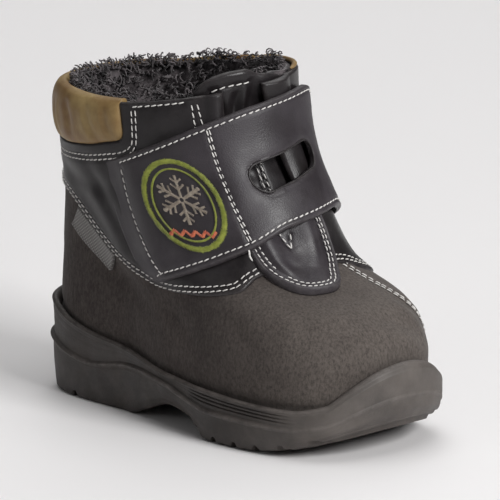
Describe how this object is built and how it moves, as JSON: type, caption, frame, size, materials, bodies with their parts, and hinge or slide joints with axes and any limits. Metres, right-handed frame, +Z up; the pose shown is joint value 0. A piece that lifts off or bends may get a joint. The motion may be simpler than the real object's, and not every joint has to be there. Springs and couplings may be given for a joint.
{
  "type": "winter boot",
  "caption": "Toddler's ankle-high winter boot for the right foot: moulded rubber cup sole, suede and smooth leather upper, padded collar, bellows tongue and a wide slotted hook-and-loop strap.",
  "frame": {"origin": "bottom centre of the box around the whole boot, on the floor it stands on", "axes": "+X towards the toe, +Z up, -Y towards the outer side of the right foot"},
  "size_m": [0.16, 0.0752, 0.1218],
  "materials": {
    "sole_rubber": "matt moulded rubber, dark grey-brown, dusty",
    "suede": "grey-brown suede with a streaky nap, lighter at the toe",
    "smooth_leather": "smooth black leather with a soft sheen",
    "collar_leather": "soft olive leather over padding",
    "felt": "grey felt",
    "wool_pile": "dark curly wool pile",
    "thread": "off-white twisted thread",
    "motif_thread": "coloured embroidery thread",
    "woven_tape": "silver-grey woven tape"
  },
  "bodies": {
    "root": {"sole": "sole_rubber", "insole": "felt", "upper": "suede", "collar": "collar_leather", "tongue": "smooth_leather", "tongue_base": "smooth_leather", "strap": "smooth_leather", "side_tab": "woven_tape", "back_strip": "smooth_leather"}
  },
  "joints": []
}
